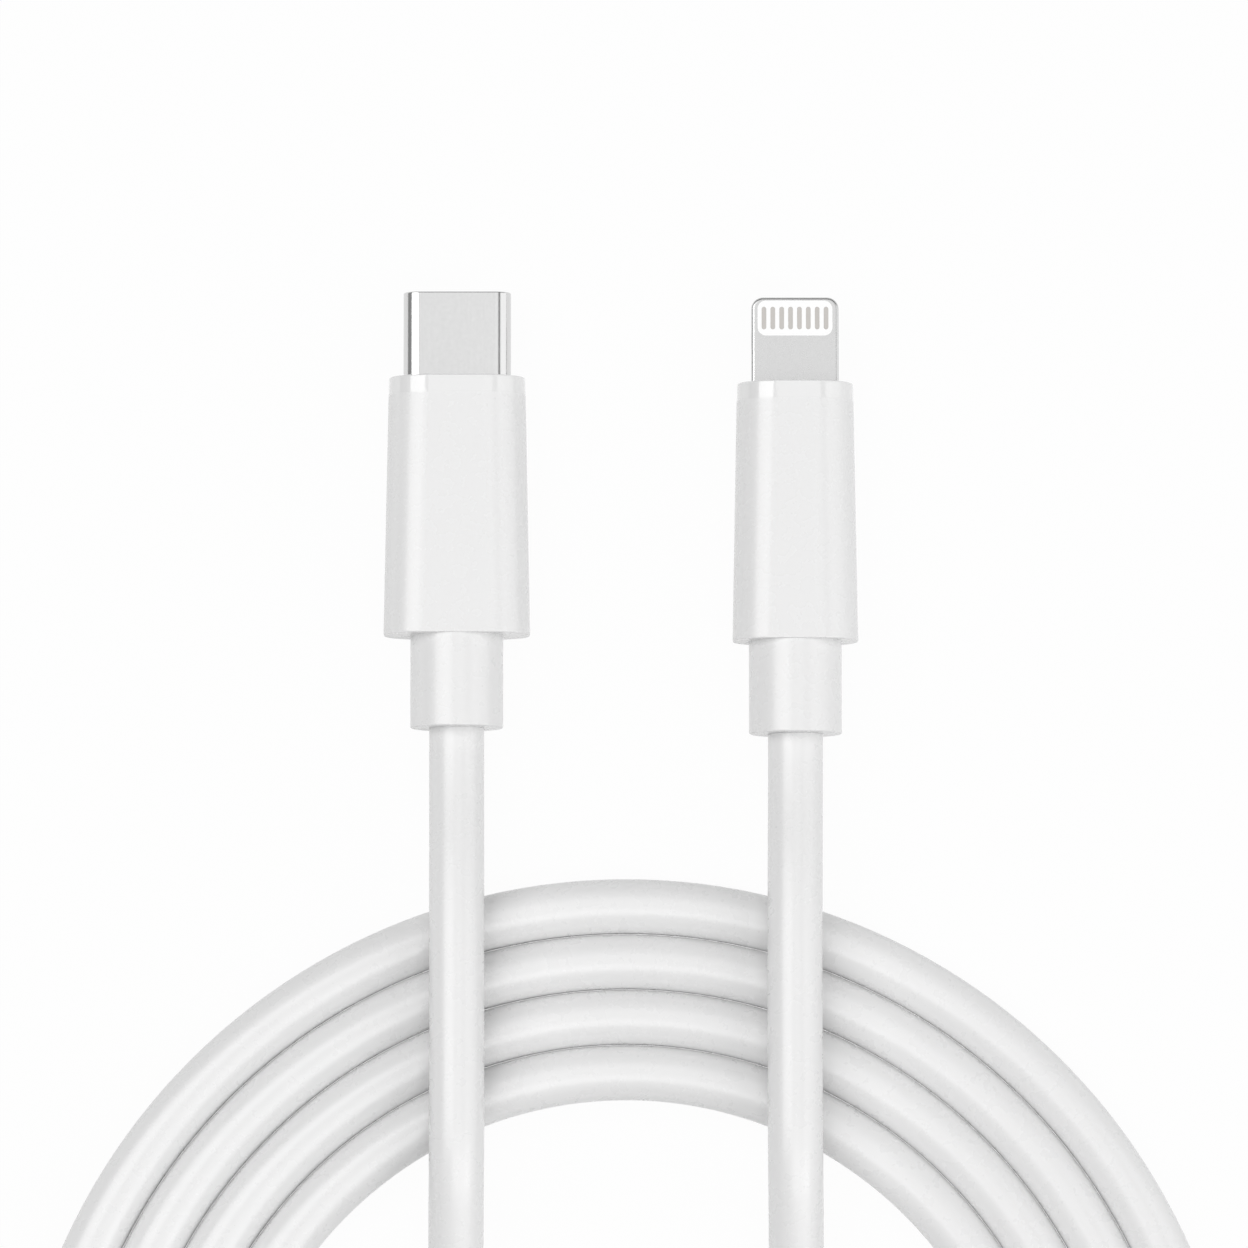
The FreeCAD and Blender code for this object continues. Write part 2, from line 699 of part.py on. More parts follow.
def round_tube(wire, diameter):
    """A tube swept along a wire, checked against its section times its length."""
    first = wire.OrderedEdges[0]
    heading = first.tangentAt(first.FirstParameter)
    start = first.valueAt(first.FirstParameter)
    section = Part.Wire(Part.Circle(start, heading, diameter / 2).toShape())
    tube = wire.makePipeShell([section], True, False)
    expected = math.pi * diameter**2 / 4 * wire.Length
    if abs(tube.Volume / expected - 1) > TUBE_VOLUME_SHARE:
        raise RuntimeError(f"tube volume {tube.Volume:.2f}, section times length {expected:.2f}")
    return tube


def make_wires(prefix):
    """Four insulated conductors, from the end of the jacket to their pads on the board."""
    seat = number("wire_diameter + wire_clearance") / 2
    pad_height = number("board_top + wire_diameter / 2")
    pad_x = number("wire_spread")
    end = -number("relief_end_depth")
    shares = WIRE_BEND_SHARES
    bend, level = (-number(f"board_end_depth + wire_fan_length * {share}") for share in shares)
    tip = number("wire_pad_length - board_end_depth")
    for name, sx, sz in WIRES:
        points = [
            Vector(sx * seat, end, sz * seat),
            Vector(sx * seat, bend, sz * seat),
            Vector(sx * pad_x, level, sz * pad_height),
            Vector(sx * pad_x, tip, sz * pad_height),
        ]
        wire, _ = rounded_path(points)
        tube = round_tube(wire, number("wire_diameter"))
        add_shape(f"{prefix}_{name}_wire", tube, f"{prefix}_axis_x", f"{prefix}_front_y", "axis_height")


# The USB-C plug's own pieces.


def shell_outline(sketch):
    stadium(sketch, "shell_width", "shell_height")


def shell_opening(sketch):
    stadium(sketch, "shell_inner_width", "shell_inner_height")


def make_usb_c_shell():
    """Drawn steel shell with a rounded lip; its root sits in the collar and the moulding."""
    body = new_body("usb_c_shell", "usb_c")
    outline = new_sketch(body, offset="-shell_exposed")
    shell_outline(outline)
    block = pad(body, outline, "shell_exposed + shell_root")
    tip = -number("shell_exposed")
    fillet(body, block, "shell_lip_fillet", lambda edge: lies_at_depth(edge, tip))
    mouth = new_sketch(body, offset="-shell_exposed")
    shell_opening(mouth)
    pocket(body, mouth, "shell_exposed + shell_root")


def latch_outline(sketch):
    """The latch plate seen from above: a bridge with two arms that hook inwards near their ends."""
    outer = "slot_width / 2"
    inner = "slot_width / 2 - latch_arm_width"
    hook = f"{inner} - latch_hook_reach"
    front = "-latch_front_depth"
    nose = f"{front} - latch_hook_nose"
    heel = f"{nose} - latch_hook_length"
    right = [
        (outer, "-latch_rear_depth"),
        (outer, front),
        (inner, front),
        (hook, nose),
        (hook, heel),
        (inner, f"{heel} - latch_hook_slope"),
        (inner, "latch_bridge_length - latch_rear_depth"),
    ]
    left = [(f"-({x})", y) for x, y in reversed(right)]
    polygon(sketch, [*right, *left])


def make_usb_c_latch_plate():
    body = new_body("usb_c_latch_plate", "usb_c")
    outline = new_sketch(body, role="XY_Plane")
    latch_outline(outline)
    pad(body, outline, "latch_thickness", symmetric=True)


def make_usb_c_insulator():
    """Contact carrier: a tongue slot, a groove for each contact and seats for the stamped pieces."""
    body = new_body("usb_c_insulator", "usb_c")
    outline = new_sketch(body, offset="insulator_front_depth")
    shell_opening(outline)
    pad(body, outline, "insulator_rear_depth - insulator_front_depth")
    slot = new_sketch(body, offset="insulator_front_depth")
    rectangle(slot, "-slot_width / 2", "slot_width / 2", "-slot_height / 2", "slot_height / 2")
    pocket(body, slot, "slot_depth")
    seat = new_sketch(body, role="XY_Plane")
    latch_outline(seat)
    pocket(body, seat, "latch_thickness", symmetric=True)
    for low in GROUND_SPRING_LOWS:
        spring_seat = new_sketch(body, offset="insulator_front_depth")
        ground_spring_outline(spring_seat, low)
        pocket(body, spring_seat, "ground_spring_length")
    half = "spring_width / 2 + spring_side_clearance"
    for sign in ("", "-"):
        groove = new_sketch(body, offset="spring_front_depth - spring_side_clearance")
        ends = (f"{sign}slot_height / 2", f"{sign}spring_height")
        rectangle(groove, f"-spring_row_half - ({half})", f"{half} - spring_row_half", *ends)
        length = "insulator_rear_depth - spring_front_depth + spring_side_clearance"
        repeat_along_x(body, pocket(body, groove, length), groove, "spring_count", "spring_pitch")


def make_usb_c_contacts(row_name):
    """A row of spring contacts: a tail on the board, a straight beam and a dip towards the tongue."""
    body = new_body(f"usb_c_{row_name}_contacts", "usb_c")
    outline = new_sketch(body, role="YZ_Plane", offset="-spring_row_half")
    top, low = "spring_height", "spring_height - spring_thickness"
    foot, foot_top = "board_top", "board_top + spring_thickness"
    dip, dip_top = "spring_dip_height", "spring_dip_height + spring_thickness"
    step = "-insulator_rear_depth"
    tail_end = f"{step} - spring_tail_length"
    front = "-spring_front_depth"
    nose = f"{front} - spring_nose_length"
    heel = f"{nose} - spring_dip_length"
    beam = f"{heel} - spring_dip_slope"
    polygon(
        outline,
        [
            (tail_end, foot),
            (f"{step} - spring_step_length", foot),
            (step, low),
            (beam, low),
            (heel, dip),
            (nose, dip),
            (front, f"{low} - spring_thickness"),
            (front, low),
            (nose, dip_top),
            (heel, dip_top),
            (beam, top),
            (step, top),
            (f"{step} - spring_step_length", foot_top),
            (tail_end, foot_top),
        ],
    )
    contact = pad(body, outline, "spring_width", symmetric=True)
    along = new_sketch(body)
    repeat_along_x(body, contact, along, "spring_count", "spring_pitch")
    if row_name == "lower":
        turn_over(body)


def ground_spring_outline(sketch, low):
    half = "ground_spring_width / 2"
    rectangle(sketch, f"-{half}", half, low, f"{low} + ground_spring_thickness")


def make_usb_c_ground_springs():
    """The two thin springs that lie on the insulator behind its front edge, with windows for the fingers."""
    body = new_body("usb_c_ground_springs", "usb_c")
    first = "-(ground_window_count - 1) * ground_window_pitch / 2"
    front = "-insulator_front_depth - ground_window_margin"
    for low in GROUND_SPRING_LOWS:
        outline = new_sketch(body, offset="insulator_front_depth")
        ground_spring_outline(outline, low)
        pad(body, outline, "ground_spring_length")
        window = new_sketch(body, role="XY_Plane", offset=low)
        half = "ground_window_width / 2"
        rear = f"{front} - ground_window_length"
        rectangle(window, f"{first} - {half}", f"{first} + {half}", rear, front)
        cut = pocket(body, window, "ground_spring_thickness")
        repeat_along_x(body, cut, window, "ground_window_count", "ground_window_pitch")


def can_tab_outline(sketch):
    """Both halves' tabs, where they lie on the shell's root."""
    height = "shell_height / 2 + can_sheet"
    rectangle(sketch, "-can_tab_width / 2", "can_tab_width / 2", f"-({height})", height)


def make_usb_c_plug():
    make_usb_c_shell()
    make_usb_c_insulator()
    make_usb_c_contacts("upper")
    make_usb_c_contacts("lower")
    make_usb_c_latch_plate()
    make_usb_c_ground_springs()
    make_board("usb_c", "insulator_rear_depth", "usb_c_board_width")
    make_board_blocks("usb_c_board_parts", "usb_c", USB_C_BOARD_PARTS)
    for side in ("top", "bottom"):
        make_can_half("usb_c", side, shell_opening, has_tab=True)
    cuts = [
        (shell_outline, "spigot_end_depth", "usb_c_can_depth"),
        (can_tab_outline, "usb_c_can_depth - can_tab_length", "usb_c_can_depth"),
    ]
    make_inner_mould("usb_c", cuts)
    make_collar("usb_c", shell_outline)


# The 8-contact plug's own pieces.


def make_eight_pin_tab():
    """Steel frame: a thin tab with a round nose, seats for the contact plates and a flange at its root."""
    body = new_body("eight_pin_tab", "eight_pin")
    outline = new_sketch(body, role="XY_Plane")
    half = "tab_width / 2"
    rectangle(outline, f"-{half}", half, "-tab_flange_end_depth", "tab_exposed")
    blade = pad(body, outline, "tab_thickness", symmetric=True)
    tip = number("tab_exposed")
    face = number("tab_face")
    root = -number("tab_flange_end_depth")

    def at_tip_corner(edge):
        box = edge.BoundBox
        return box.YMin > tip - LENGTH_TOLERANCE and box.XLength < LENGTH_TOLERANCE

    def on_rim(edge):
        box = edge.BoundBox
        flat = abs(abs(box.ZMin) - face) < LENGTH_TOLERANCE and box.ZLength < LENGTH_TOLERANCE
        return flat and box.YMax > root + LENGTH_TOLERANCE

    corners = fillet(body, blade, "tab_corner_radius", at_tip_corner)
    fillet(body, corners, "tab_edge_fillet", on_rim)
    flange = new_sketch(body, offset="spigot_end_depth")
    flange_outline(flange)
    pad(body, flange, "tab_flange_thickness")
    slot = new_sketch(body, offset="tab_board_slot_setback - tab_exposed")
    width = "tab_board_slot_width / 2"
    rectangle(slot, f"-{width}", width, "-board_top", "board_top")
    pocket(body, slot, "tab_exposed + tab_flange_end_depth - tab_board_slot_setback")
    plate_seat = new_sketch(body, role="XY_Plane")
    plate_outline(plate_seat)
    pocket(body, plate_seat, "tab_thickness", symmetric=True)
    detent = new_sketch(body, role="YZ_Plane", offset="tab_width / 2 - detent_reach")
    rear = "tab_exposed - detent_setback - detent_length / 2"
    rectangle(detent, rear, f"{rear} + detent_length", "-detent_height / 2", "detent_height / 2")
    cut = pocket(body, detent, "2 * detent_reach")
    mirror(body, [cut], "YZ_Plane")


def flange_outline(sketch):
    radius = "tab_flange_corner_radius"
    rounded_rectangle(sketch, "tab_flange_width", "tab_flange_height", radius)


def plate_outline(sketch):
    """The contact plate's outline, seen from above."""
    middle = "-plate_middle_depth"
    rounded_rectangle(sketch, "plate_width", "plate_length", "plate_corner_radius", middle)


def contact_outline(sketch):
    """The first contact of the row, a slot with round ends along the plug."""
    x, r = -number("contact_row_half"), number("contact_width") / 2
    straight = "contact_length - contact_width"
    rear_end = f"-contact_middle_depth - ({straight}) / 2"
    y, length = number(rear_end), number(straight)
    left, right, front, back = sketch.addGeometry(
        [
            line(x - r, y, x - r, y + length),
            line(x + r, y, x + r, y + length),
            arc(x, y + length, r, 0, 180),
            arc(x, y, r, 180, 360),
        ]
    )
    add_all(
        sketch,
        ("Tangent", right, 2, front, 1),
        ("Tangent", left, 2, front, 2),
        ("Tangent", left, 1, back, 1),
        ("Tangent", right, 1, back, 2),
        ("Vertical", left),
        ("Equal", front, back),
    )
    constrain(sketch, "-contact_row_half", "DistanceX", -1, 1, back, 3)
    constrain(sketch, rear_end, "DistanceY", -1, 1, back, 3)
    constrain(sketch, straight, "DistanceY", back, 3, front, 3)
    constrain(sketch, "contact_width / 2", "Radius", front)


def make_contact_face(side):
    """The white plate on one face of the tab and the eight contacts in its windows."""
    plate = new_body(f"eight_pin_{side}_plate", "eight_pin")
    outline = new_sketch(plate, role="XY_Plane", offset="board_top")
    plate_outline(outline)
    pad(plate, outline, "plate_thickness")
    window = new_sketch(plate, role="XY_Plane", offset="board_top")
    contact_outline(window)
    cut = pocket(plate, window, "plate_thickness")
    repeat_along_x(plate, cut, window, "contact_count", "contact_pitch")
    contacts = new_body(f"eight_pin_{side}_contacts", "eight_pin")
    shape = new_sketch(contacts, role="XY_Plane", offset="board_top")
    contact_outline(shape)
    first = pad(contacts, shape, "plate_thickness - contact_recess")
    repeat_along_x(contacts, first, shape, "contact_count", "contact_pitch")
    if side == "back":
        turn_over(plate)
        turn_over(contacts)


def make_eight_pin_board():
    """Board with a narrow tongue that fills the tab and a wider part in the can."""
    body = make_board("eight_pin", "eight_pin_can_depth", "eight_pin_board_width")
    tongue = new_sketch(body, offset="tab_board_slot_setback - tab_exposed")
    half = "tab_board_slot_width / 2"
    rectangle(tongue, f"-{half}", half, "-board_top", "board_top")
    pad(body, tongue, "tab_exposed + eight_pin_can_depth - tab_board_slot_setback")


def tab_outline(sketch):
    rounded_rectangle(sketch, "tab_width", "tab_thickness", "tab_edge_fillet")


def board_opening(sketch):
    half = "eight_pin_board_width / 2"
    rectangle(sketch, f"-{half}", half, "-board_top", "board_top")


def make_eight_pin_plug():
    make_eight_pin_tab()
    for side in ("front", "back"):
        make_contact_face(side)
    make_eight_pin_board()
    make_board_blocks("eight_pin_control_chip", "eight_pin", EIGHT_PIN_CHIP)
    make_board_blocks("eight_pin_capacitors", "eight_pin", EIGHT_PIN_CAPACITORS)
    for side in ("top", "bottom"):
        make_can_half("eight_pin", side, board_opening, has_tab=False)
    make_inner_mould("eight_pin", [(flange_outline, "spigot_end_depth", "tab_flange_end_depth")])
    make_collar("eight_pin", tab_outline)


# The cable between the plugs.


def half_circle(middle_x, radius, level, lower):
    """Two quarter turns: below the middle from left to right, or above it from right to left."""
    angles = [math.radians(45 * step + (180 if lower else 0)) for step in range(5)]
    places = [
        Vector(middle_x + radius * math.cos(angle), radius * math.sin(angle), level) for angle in angles
    ]
    return [Part.Arc(*places[i : i + 3]).toShape() for i in (0, 2)]


def coil_wire():
    """The coil's centre line on the table: half circles that step out by one pitch a turn.

    It enters on the left, heading towards -Y, inside the turns, and leaves on the left outside them.
    """
    end_run = number("cable_diameter")
    level = number("table_level")
    left = -number("lead_x")
    edges = [Part.LineSegment(Vector(left, end_run, level), Vector(left, 0, level)).toShape()]
    for turn in range(int(number("coil_turns"))):
        radius = number("innermost_radius") + turn * number("coil_pitch")
        middle = (radius + left) / 2
        edges += half_circle(middle, radius - middle, level, lower=True)
        edges += half_circle(0, radius, level, lower=False)
        left = -radius
    edges.append(Part.LineSegment(Vector(left, 0, level), Vector(left, -end_run, level)).toShape())
    return Part.Wire(edges)


def least_gap(wire, diameter):
    """Least distance between the tube's walls on different turns, from points of its centre line."""
    points = wire.discretize(Distance=GAP_STEP)
    apart = int(GAP_SKIP / GAP_STEP)
    pairs = ((one, other) for i, one in enumerate(points) for other in points[i + apart :])
    return min(one.distanceToPoint(other) for one, other in pairs) - diameter


def way_down(x, start_y):
    """Corners of a lead from its strain relief, over the coil's turns and down to the table."""
    first_bend_y = f"{start_y} + exit_run_share * (hump_front_y - ({start_y}))"
    corners = [(start_y, "axis_height"), (first_bend_y, "axis_height"), *HUMP]
    return [Vector(x, number(y), number(z)) for y, z in corners]


def make_cable():
    """The two leads and the coil, laid out from the coil's middle."""
    diameter = number("cable_diameter")
    x, level = number("lead_x"), number("table_level")
    reach, rise = number("outermost_radius"), number("crossing_level - table_level")
    usb_c_route = [*way_down(-x, "coil_distance"), Vector(-x, diameter, level)]
    eight_pin_route = [
        *way_down(x, "coil_distance - plug_stagger"),
        Vector(x, number("floor_run_end_y"), level),
        *[Vector(a * reach, b * reach, level + c * rise) for a, b, c in RETURN_OVER_TURNS],
        Vector(-reach, -diameter, level),
    ]
    coil = coil_wire()
    usb_c_wire, usb_c_radii = rounded_path(usb_c_route)
    eight_pin_wire, eight_pin_radii = rounded_path(eight_pin_route)
    middle_y = "usb_c_front_y - body_length - relief_length - coil_distance"
    wires = {"usb_c_lead": usb_c_wire, "cable_coil": coil, "eight_pin_lead": eight_pin_wire}
    for label, wire in wires.items():
        add_shape(label, round_tube(wire, diameter), "frame_shift", middle_y)
        print(f"{label}: {wire.Length:.1f} mm")
    print(f"least gap in the coil: {least_gap(coil, diameter):.2f} mm")
    print("least radius in the coil:", round((number("innermost_radius") + x) / 2, 1))
    print("radii in the leads:", [round(radius, 1) for radius in [*usb_c_radii, *eight_pin_radii]])


def check_document():
    """Stop if an object has failed, a shape is broken, or a cut has removed nothing."""
    doc.recompute()
    for item in doc.Objects:
        if {"Invalid", "Error"} & set(item.State):
            raise RuntimeError(f"{item.Name} is {item.State}")
        if item.TypeId == "Sketcher::SketchObject" and item.GeometryCount and not item.FullyConstrained:
            raise RuntimeError(f"{item.Name} is not fully constrained")
        if item.TypeId == "PartDesign::Pocket":
            before = item.BaseFeature.Shape.Volume
            if item.Shape.Volume > before - VOLUME_TOLERANCE:
                raise RuntimeError(f"{item.Name} cuts nothing")
    for label, part in parts.items():
        if part.Shape.isNull() or not part.Shape.isValid() or part.Shape.Volume <= 0:
            raise RuntimeError(f"{label} has no sound shape")


def write_parts():
    os.makedirs("parts", exist_ok=True)
    for label, part in parts.items():
        part.Shape.exportStep(os.path.join("parts", f"{label}.step"))
    print(len(parts), "parts written")


fill_sheet()
make_usb_c_plug()
make_eight_pin_plug()
for end in ("usb_c", "eight_pin"):
    make_housing(end)
    make_strain_relief(end)
    make_jacket_end(end)
    make_crimp_ring(end)
    make_wires(end)
make_cable()
check_document()
write_parts()
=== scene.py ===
"""Looks of the charging cable: two white plugs side by side over a flat coil, seen from nearly straight above.

Everything is in metres in the part's own frame: the table at z = 0, +Y the way both plugs point, the
USB-C plug on the left.
"""

import json
import math

import bpy
from mathutils import Matrix, Vector


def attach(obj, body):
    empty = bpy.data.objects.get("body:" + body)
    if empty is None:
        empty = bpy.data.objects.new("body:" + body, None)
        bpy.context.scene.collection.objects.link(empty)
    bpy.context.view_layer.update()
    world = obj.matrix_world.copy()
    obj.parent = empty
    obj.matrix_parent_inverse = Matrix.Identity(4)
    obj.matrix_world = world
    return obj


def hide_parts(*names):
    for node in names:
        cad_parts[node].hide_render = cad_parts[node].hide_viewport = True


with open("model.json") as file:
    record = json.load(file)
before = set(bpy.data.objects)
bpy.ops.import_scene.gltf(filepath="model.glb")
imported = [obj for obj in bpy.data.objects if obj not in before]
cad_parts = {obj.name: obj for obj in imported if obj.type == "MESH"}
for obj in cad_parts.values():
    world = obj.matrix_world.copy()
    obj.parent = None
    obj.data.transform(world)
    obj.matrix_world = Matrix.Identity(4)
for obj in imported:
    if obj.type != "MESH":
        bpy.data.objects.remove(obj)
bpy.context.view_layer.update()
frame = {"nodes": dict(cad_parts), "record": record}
scene = bpy.context.scene
nodes = frame["nodes"]

# The camera looks down at the table, leaning a little so that the plugs' rear ends show.
CAMERA_AIM = Vector((0.00024, -0.0082, 0.0))
CAMERA_DISTANCE = 0.7
CAMERA_TILT = math.radians(4.93)
CAMERA_FIELD = math.radians(7.847)

# The cable, and the middle of its coil on the table.
CABLE = 0.0042
COIL_MIDDLE = Vector((0.0004, -0.07495, 0.0))
COIL_TURNS = 4
COIL_OUTERMOST = 0.04487
COIL_PITCH = 0.004235
POINTS_PER_HALF_TURN = 12
LEAD_X = 0.01295

# Noise in the materials, as scales per metre: drift of colour, clouds in the gloss of plastic and of metal.
DRIFT_SCALE = 260.0
PLASTIC_CLOUD_SCALE = 900.0
METAL_CLOUD_SCALE = 3000.0
DRIFT_DARKEST = 0.994
ROUGHNESS_DRIFT = 0.02

WHITE = (0.8, 0.8, 0.8)
STEEL = (0.71, 0.71, 0.71)

# Plastics: colour, roughness, size and depth of the grain in metres, and what else the shader needs.
PLASTICS = {
    "housing_plastic": (WHITE, 0.27, 0.16e-3, 0.4e-6, {"specular": 0.8}),
    "collar_plastic": (WHITE, 0.16, 0.6e-3, 0.4e-6, {"coat": 1.0, "specular": 0.8}),
    "relief_plastic": (WHITE, 0.28, 0.2e-3, 0.5e-6, {"specular": 0.8}),
    "jacket": (WHITE, 0.28, 0.2e-3, 0.5e-6, {"specular": 0.8}),
    "inner_moulding": ((0.7, 0.7, 0.67), 0.5, 0.3e-3, 10e-6, {}),
    "board": ((0.03, 0.12, 0.05), 0.3, 0.3e-3, 4e-6, {}),
    "power_insulation": ((0.45, 0.02, 0.015), 0.35, 0.2e-3, 3e-6, {}),
    "ground_insulation": ((0.015, 0.015, 0.015), 0.35, 0.2e-3, 3e-6, {}),
    "data_plus_insulation": ((0.03, 0.25, 0.06), 0.35, 0.2e-3, 3e-6, {}),
    "data_minus_insulation": ((0.7, 0.7, 0.68), 0.35, 0.2e-3, 3e-6, {}),
    "insulator_plastic": ((0.022, 0.022, 0.023), 0.42, 0.1e-3, 4e-6, {}),
    "plate_plastic": ((0.95, 0.95, 0.95), 0.35, 0.1e-3, 2e-6, {}),
    "package": ((0.02, 0.02, 0.022), 0.45, 0.1e-3, 4e-6, {}),
}

# Metals: colour, roughness, scale of the lines in each direction and their depth in metres.
METALS = {
    "shell_metal": (STEEL, 0.17, (9000.0, 300.0, 9000.0), 0.15e-6),
    "tab_metal": ((0.64, 0.64, 0.64), 0.26, (2500.0, 2500.0, 2500.0), 0.3e-6),
    "tab_contact_metal": ((0.53, 0.51, 0.49), 0.38, (9000.0, 500.0, 9000.0), 1e-6),
    "contact_metal": ((0.8, 0.56, 0.24), 0.22, (9000.0, 500.0, 9000.0), 1e-6),
    "spring_metal": ((0.6, 0.6, 0.6), 0.28, (500.0, 9000.0, 9000.0), 1e-6),
    "can_metal": ((0.62, 0.62, 0.6), 0.35, (500.0, 7000.0, 7000.0), 1e-6),
    "crimp_metal": ((0.6, 0.6, 0.59), 0.32, (500.0, 7000.0, 7000.0), 1e-6),
}

# The floor reaches far enough to fill every view; its glow is what keeps it white to the camera.
FLOOR_HALF = 6.0
FLOOR_COLOR = (0.7, 0.7, 0.7)
FLOOR_GLOW_SHARE = 0.96

# The light: the world's strength, and soft boxes round a point by how far they lean to +X and to +Y,
# their two angles of view, all in degrees, and their radiance.
WORLD_STRENGTH = 0.3
LIGHTS_AIM = Vector((0.0, -0.03, 0.0))
SOFT_BOXES = {
    "left_box": (-33, 9, (42, 42), 2.4),
    "front_box": (22.5, -26, (75, 24), 1.85),
    "top_box": (8, 12, (26, 52), 0.82),
    "right_box": (62, 0, (52, 56), 0.95),
}


def make_camera():
    data = bpy.data.cameras.new("photo_camera")
    data.sensor_width = 36.0
    data.lens = data.sensor_width / 2 / math.tan(CAMERA_FIELD / 2)
    data.clip_start = 0.01
    data.clip_end = 100.0
    camera = bpy.data.objects.new("photo_camera", data)
    back = Vector((0.0, -math.sin(CAMERA_TILT), math.cos(CAMERA_TILT)))
    camera.location = CAMERA_AIM + back * CAMERA_DISTANCE
    camera.rotation_euler = (CAMERA_TILT, 0.0, 0.0)
    scene.collection.objects.link(camera)
    scene.camera = camera


# The cord.


def half_turn(middle_x, radius, lower):
    """Control points outside a half circle, so that the curve between them runs on the circle."""
    step = math.pi / POINTS_PER_HALF_TURN
    start = math.pi if lower else 0.0
    reach = radius / math.cos(step / 2)
    angles = [start + step * (i + 0.5) for i in range(POINTS_PER_HALF_TURN)]
    return [(middle_x + reach * math.cos(a), reach * math.sin(a), CABLE / 2) for a in angles]


def coil_points():
    """The turns from the inside out, each beside the next.

    Lower halves step out by one turn, upper halves are centred.
    """
    points = []
    left = -LEAD_X
    for turn in range(COIL_TURNS):
        radius = COIL_OUTERMOST - COIL_PITCH * (COIL_TURNS - 1 - turn)
        points += half_turn((radius + left) / 2, (radius - left) / 2, lower=True)
        points += half_turn(0.0, radius, lower=False)
        left = -radius
    return points


# From the coil's middle, in metres: down from the USB-C plug, over the turns and into the coil.
USB_C_WAY = [
    (-0.01295, 0.05842, 0.00370),
    (-0.01295, 0.0552, 0.00370),
    (-0.01288, 0.0447, 0.00646),
    (-0.01286, 0.0364, 0.00640),
    (-0.01286, 0.0260, 0.00640),
    (-0.01295, 0.0195, 0.00420),
    (-0.01295, 0.0140, 0.00210),
    (-0.01295, 0.0070, 0.00210),
]
# From the outside of the coil, back over its turns, across its middle and up to the 8-contact plug.
EIGHT_PIN_WAY = [
    (-0.04487, -0.0040, 0.00210),
    (-0.04505, -0.0140, 0.00230),
    (-0.0400, -0.0267, 0.00440),
    (-0.0255, -0.0348, 0.00690),
    (-0.0084, -0.0345, 0.00660),
    (0.0046, -0.0272, 0.00670),
    (0.0110, -0.0160, 0.00610),
    (0.01295, -0.0055, 0.00280),
    (0.01295, 0.0040, 0.00210),
    (0.01295, 0.0140, 0.00210),
    (0.01295, 0.0195, 0.00420),
    (0.01285, 0.0260, 0.00640),
    (0.01283, 0.0364, 0.00640),
    (0.01284, 0.0447, 0.00646),
    (0.01295, 0.0549, 0.00370),
    (0.01295, 0.05797, 0.00370),
]


def make_cord(material):
    """The cable between the strain reliefs, one smooth round curve."""
    data = bpy.data.curves.new("cable", "CURVE")
    data.dimensions = "3D"
    data.bevel_depth = CABLE / 2
    data.bevel_resolution = 10
    data.resolution_u = 8
    data.use_fill_caps = True
    route = [*USB_C_WAY, *coil_points(), *EIGHT_PIN_WAY]
    spline = data.splines.new("NURBS")
    spline.points.add(len(route) - 1)
    for point, place in zip(spline.points, route):
        point.co = (*(COIL_MIDDLE + Vector(place)), 1.0)
    spline.order_u = 3
    spline.use_endpoint_u = True
    data.materials.append(material)
    cable = bpy.data.objects.new("cable", data)
    scene.collection.objects.link(cable)
    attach(cable, "root")
    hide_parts("usb_c_lead", "cable_coil", "eight_pin_lead")


# Materials: each has its own grain, in metres of the part's frame.


def add_node(tree, kind, inputs=(), **settings):
    node = tree.nodes.new(kind)
    for name, value in settings.items():
        setattr(node, name, value)
    for name, value in dict(inputs).items():
        node.inputs[name].default_value = value
    return node


def new_material(name, color, roughness, metallic=0.0, coat=0.0, specular=0.5):
    """A principled material; returns it with its tree, its shader and its coordinates."""
    material = bpy.data.materials.new(name)
    material.use_nodes = True
    tree = material.node_tree
    shader = tree.nodes["Principled BSDF"]
    shader.inputs["Base Color"].default_value = (*color, 1.0)
    shader.inputs["Roughness"].default_value = roughness
    shader.inputs["Metallic"].default_value = metallic
    shader.inputs["Coat Weight"].default_value = coat
    shader.inputs["Specular IOR Level"].default_value = specular
    place = add_node(tree, "ShaderNodeTexCoord").outputs["Object"]
    return material, tree, shader, place


def stretched(tree, place, scale):
    mapping = add_node(tree, "ShaderNodeMapping", {"Scale": scale})
    tree.links.new(place, mapping.inputs["Vector"])
    return mapping.outputs["Vector"]


def noise(tree, place, scale, detail=3.0, roughness=0.5):
    texture = add_node(
        tree, "ShaderNodeTexNoise", {"Scale": scale, "Detail": detail, "Roughness": roughness}
    )
    tree.links.new(place, texture.inputs["Vector"])
    return texture.outputs["Fac"]


def spread(tree, value, low, high):
    """Map a noise value, which stays near its middle, to a range."""
    mapped = add_node(
        tree,
        "ShaderNodeMapRange",
        {"From Min": 0.3, "From Max": 0.7, "To Min": low, "To Max": high},
    )
    tree.links.new(value, mapped.inputs["Value"])
    return mapped.outputs["Result"]


def vary_color(tree, shader, value, one, other):
    mix = add_node(tree, "ShaderNodeMix", data_type="RGBA")
    mix.inputs["A"].default_value = (*one, 1.0)
    mix.inputs["B"].default_value = (*other, 1.0)
    tree.links.new(spread(tree, value, 0.0, 1.0), mix.inputs["Factor"])
    tree.links.new(mix.outputs["Result"], shader.inputs["Base Color"])


def vary_roughness(tree, shader, value, middle):
    result = spread(tree, value, middle - ROUGHNESS_DRIFT, middle + ROUGHNESS_DRIFT)
    tree.links.new(result, shader.inputs["Roughness"])


def bump(tree, shader, value, depth):
    node = add_node(tree, "ShaderNodeBump", {"Strength": 1.0, "Distance": depth})
    tree.links.new(value, node.inputs["Height"])
    tree.links.new(node.outputs["Normal"], shader.inputs["Normal"])


